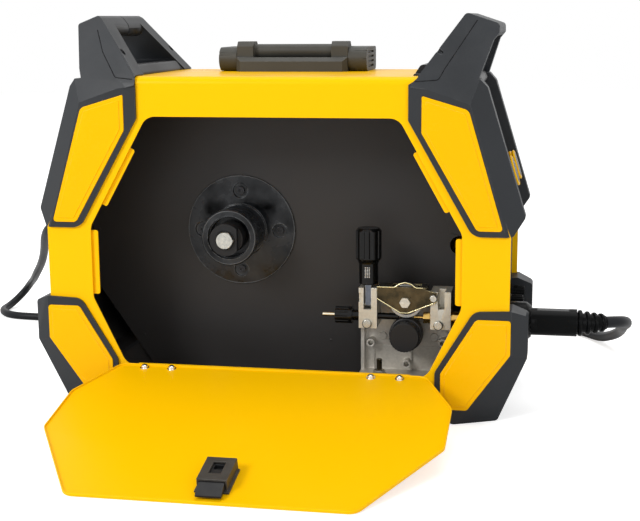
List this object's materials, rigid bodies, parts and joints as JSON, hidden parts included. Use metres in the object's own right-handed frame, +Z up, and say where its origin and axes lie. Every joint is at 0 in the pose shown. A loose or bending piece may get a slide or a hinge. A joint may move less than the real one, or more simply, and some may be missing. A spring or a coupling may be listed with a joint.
{
  "type": "portable wire-feed arc welding machine",
  "caption": "Portable wire-feed welding machine with octagonal sheet cabinet, moulded corner guards, folding handle, open side door, spool hub, wire drive, torch and mains lead.",
  "frame": {"origin": "on the floor under the middle of the cabinet", "axes": "+X towards the machine's front with the sockets, -Y towards its door side, +Z up"},
  "size_m": [0.8587, 0.7786, 0.4063],
  "materials": {
    "yellow_paint": "semi-gloss yellow powder coat",
    "yellow_plastic": "gloss moulded yellow",
    "guard_plastic": "textured charcoal",
    "black_plastic": "moulded black",
    "black_paint": "satin black powder coat",
    "cord_rubber": "matt cable sheath",
    "zinc": "bright zinc",
    "roller_steel": "ground steel",
    "cast_alloy": "bead-blasted die casting",
    "yellow_zinc": "yellow passivated zinc",
    "brass": "turned brass",
    "neck_rubber": "matt sleeve",
    "window": "smoked window"
  },
  "bodies": {
    "cabinet": {"base_tray": "black_paint", "cover": "yellow_paint", "partition": "black_paint", "front_panel": "black_plastic", "rear_panel": "black_plastic", "upper_guard_front_near": "guard_plastic", "upper_guard_front_far": "guard_plastic", "upper_guard_rear_near": "guard_plastic", "upper_guard_rear_far": "guard_plastic", "lower_guard_front_near": "guard_plastic", "lower_guard_front_far": "guard_plastic", "lower_guard_rear_near": "guard_plastic", "lower_guard_rear_far": "guard_plastic", "guard_inserts": "yellow_plastic", "handle_base": "black_plastic", "hinge_frame_leaves": "zinc", "hub_flange": "black_plastic", "hub_collar": "black_plastic", "hub_bolt": "zinc", "fixing_screws": "zinc", "feed_plate": "cast_alloy", "gearmotor": "cast_alloy", "inlet_block": "cast_alloy", "outlet_block": "cast_alloy", "inlet_guide": "black_plastic", "guide_tubes": "brass", "display_lens": "window", "front_sockets": "brass", "torch_sleeve": "black_plastic", "torch_boot": "cord_rubber", "torch_lead": "cord_rubber", "torch_coil": "cord_rubber", "torch_handle": "black_plastic", "torch_neck": "neck_rubber", "mains_gland": "black_plastic", "mains_lead": "cord_rubber", "mains_coil": "cord_rubber", "mains_plug": "cord_rubber", "gas_inlet": "brass", "inverter_module": "cast_alloy"},
    "side_door": {"door": "yellow_paint", "hinge_door_leaves": "zinc", "door_screws": "zinc", "latch_housing": "black_plastic"},
    "latch": {"latch_slide": "black_plastic"},
    "spool_hub": {"hub_boss": "black_plastic", "hub_ring": "black_plastic"},
    "feed_drive": {"drive_roll": "roller_steel", "drive_cap": "black_plastic"},
    "lift_arm": {"pressure_arm": "yellow_zinc", "roller_bolt": "zinc"},
    "idler": {"pressure_roller": "roller_steel"},
    "tensioner": {"tension_stem": "zinc"},
    "tension_grip": {"tension_knob": "black_plastic"},
    "carry_bail": {"handle_bail": "black_plastic"},
    "voltage_dial": {"voltage_knob": "black_plastic"},
    "current_dial": {"current_knob": "black_plastic"},
    "power_rocker": {"mains_switch": "black_plastic"},
    "fan": {"fan_rotor": "black_plastic"},
    "trigger": {"torch_trigger": "black_plastic"}
  },
  "joints": [
    {"name": "door_hinge", "type": "hinge", "parent": "cabinet", "child": "side_door", "pos_m": [0, -0.1032, 0.0465], "axis": [1, 0, 0], "range_deg": [-101.09, 0]},
    {"name": "latch_slide", "type": "slide", "parent": "side_door", "child": "latch", "axis": [0, -0.9813, -0.1924], "range_m": [0, 0.008]},
    {"name": "spool_turn", "type": "hinge", "parent": "cabinet", "child": "spool_hub", "pos_m": [-0.058, -0.02, 0.175], "axis": [0, 1, 0], "continuous": true},
    {"name": "drive_turn", "type": "hinge", "parent": "cabinet", "child": "feed_drive", "pos_m": [0.13, -0.04, 0.0765], "axis": [0, 1, 0], "continuous": true},
    {"name": "arm_lift", "type": "hinge", "parent": "cabinet", "child": "lift_arm", "pos_m": [0.1595, -0.05, 0.1176], "axis": [0, 1, 0], "range_deg": [0, 15]},
    {"name": "idler_turn", "type": "hinge", "parent": "lift_arm", "child": "idler", "pos_m": [0.13, -0.04, 0.1125], "axis": [0, 1, 0], "continuous": true},
    {"name": "tension_swing", "type": "hinge", "parent": "cabinet", "child": "tensioner", "pos_m": [0.09, -0.04, 0.1065], "axis": [1, 0, 0], "range_deg": [0, 90]},
    {"name": "tension_turn", "type": "hinge", "parent": "tensioner", "child": "tension_grip", "pos_m": [0.09, -0.04, 0.16], "axis": [0, 0, 1], "range_deg": [-180, 180]},
    {"name": "bail_fold", "type": "hinge", "parent": "cabinet", "child": "carry_bail", "pos_m": [-0.004, 0.04, 0.359], "axis": [1, 0, 0], "range_deg": [0, 90]},
    {"name": "voltage_turn", "type": "hinge", "parent": "cabinet", "child": "voltage_dial", "pos_m": [0.22706, -0.028, 0.24505], "axis": [0.9558, 0, 0.2941], "range_deg": [-135, 135]},
    {"name": "current_turn", "type": "hinge", "parent": "cabinet", "child": "current_dial", "pos_m": [0.22706, 0.028, 0.24505], "axis": [0.9558, 0, 0.2941], "range_deg": [-135, 135]},
    {"name": "rocker_tip", "type": "hinge", "parent": "cabinet", "child": "power_rocker", "pos_m": [-0.22024, 0, 0.26179], "axis": [0, 1, 0], "range_deg": [0, 12]},
    {"name": "fan_turn", "type": "hinge", "parent": "cabinet", "child": "fan", "pos_m": [-0.215, 0.062, 0.144], "axis": [1, 0, 0], "continuous": true},
    {"name": "trigger_press", "type": "hinge", "parent": "cabinet", "child": "trigger", "pos_m": [-0.1455, 0.3465, 0.0189], "axis": [0, 0, -1], "range_deg": [0, 7], "stiffness_Nm_per_rad": 0.6}
  ],
  "couplings": [
    {"joint": "idler_turn", "follows": "drive_turn", "ratio": -1},
    {"joint": "tension_swing", "follows": "arm_lift", "ratio": 6}
  ]
}
